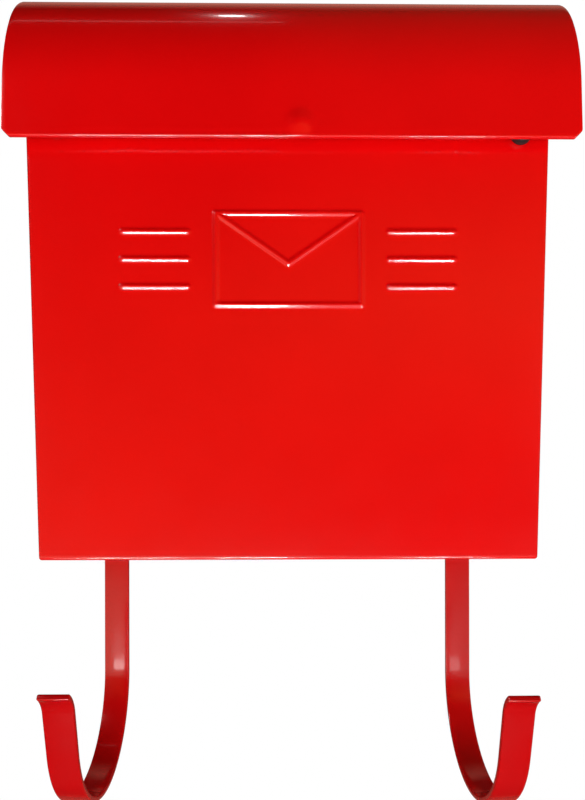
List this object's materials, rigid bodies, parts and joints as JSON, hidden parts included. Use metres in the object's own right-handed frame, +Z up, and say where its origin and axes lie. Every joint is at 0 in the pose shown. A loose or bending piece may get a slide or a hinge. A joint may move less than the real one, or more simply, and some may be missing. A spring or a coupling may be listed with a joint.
{
  "type": "mailbox",
  "caption": "Wall-hung red sheet-steel mailbox with a rolled-over hinged lid, an embossed envelope on the front and strap hooks below for a newspaper.",
  "frame": {"origin": "centre of the four wall holes, on the back face of the box, in the plane of the wall", "axes": "+Z up, +Y into the wall, +X to the right of someone facing the front, which faces -Y"},
  "size_m": [0.242, 0.1046, 0.3852],
  "materials": {
    "red_enamel": "gloss powder coat on sheet steel",
    "red_strap": "gloss powder coat on strap steel",
    "red_rivet": "gloss powder coat over aluminium rivets",
    "zinc_plate": "bright zinc plate",
    "pin_steel": "drawn steel wire",
    "black_rubber": "moulded rubber"
  },
  "bodies": {
    "box": {"front_shell": "red_enamel", "back_panel": "red_enamel", "floor_panel": "red_enamel", "hook_left": "red_strap", "hook_right": "red_strap", "hook_rivets": "red_rivet", "side_rivets": "red_rivet", "floor_rivets": "red_rivet", "flange_rivets": "red_rivet", "lid_bumper_left": "black_rubber", "lid_bumper_right": "black_rubber", "hinge_leaf_left": "zinc_plate", "hinge_leaf_right": "zinc_plate", "hinge_pin_left": "pin_steel", "hinge_pin_right": "pin_steel", "hinge_rivets": "zinc_plate"},
    "lid": {"lid": "red_enamel", "lid_leaf_left": "zinc_plate", "lid_leaf_right": "zinc_plate", "lid_rivets": "red_rivet"}
  },
  "joints": [
    {"name": "lid_hinge", "type": "hinge", "parent": "box", "child": "lid", "pos_m": [0, -0.0043, 0.12448], "axis": [-1, 0, 0], "range_deg": [0, 88]}
  ]
}
